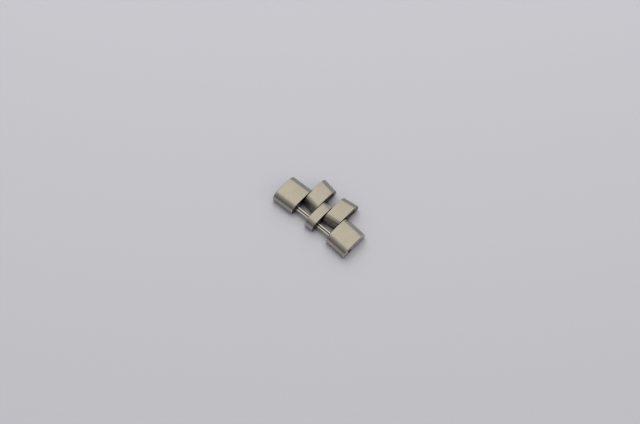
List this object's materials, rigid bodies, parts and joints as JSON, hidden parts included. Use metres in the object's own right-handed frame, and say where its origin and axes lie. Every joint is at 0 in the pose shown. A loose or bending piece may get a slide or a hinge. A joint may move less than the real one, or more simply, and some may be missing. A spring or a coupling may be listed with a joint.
{
  "type": "watch bracelet link",
  "caption": "Full-width brushed steel watch bracelet row: wide outer links, narrow centre link, hollow inner links on a hidden hinge pin, and a split pin to join the next row.",
  "frame": {"origin": "middle of the centre link's underside, on the row's centre line, midway between its two pin holes", "axes": "+X across the bracelet towards the side where the split pin's fold sits, +Y along the bracelet towards the inner links' free eyes, +Z from the wrist side towards the visible face"},
  "size_m": [0.02, 0.0106, 0.0026],
  "materials": {
    "brushed_links": "matte, brushed along the bracelet",
    "bent_strip": "matte, brushed along the bracelet, dark inside",
    "bright_wire": "bright drawn wire"
  },
  "bodies": {
    "row": {"outer_link_left": "brushed_links", "outer_link_right": "brushed_links", "centre_link": "brushed_links", "hinge_pin": "bright_wire"},
    "inner_left": {"inner_link_left": "bent_strip"},
    "inner_right": {"inner_link_right": "bent_strip"},
    "pin": {"split_pin": "bright_wire"}
  },
  "joints": [
    {"name": "inner_left_hinge", "type": "hinge", "parent": "row", "child": "inner_left", "pos_m": [-0.00293, 0.00165, 0.00115], "axis": [1, 0, 0], "range_deg": [-120, 120]},
    {"name": "inner_right_hinge", "type": "hinge", "parent": "row", "child": "inner_right", "pos_m": [0.00293, 0.00165, 0.00115], "axis": [1, 0, 0], "range_deg": [-120, 120]},
    {"name": "split_pin_slide", "type": "slide", "parent": "row", "child": "pin", "axis": [-1, 0, 0], "range_m": [0, 0.01988]}
  ]
}
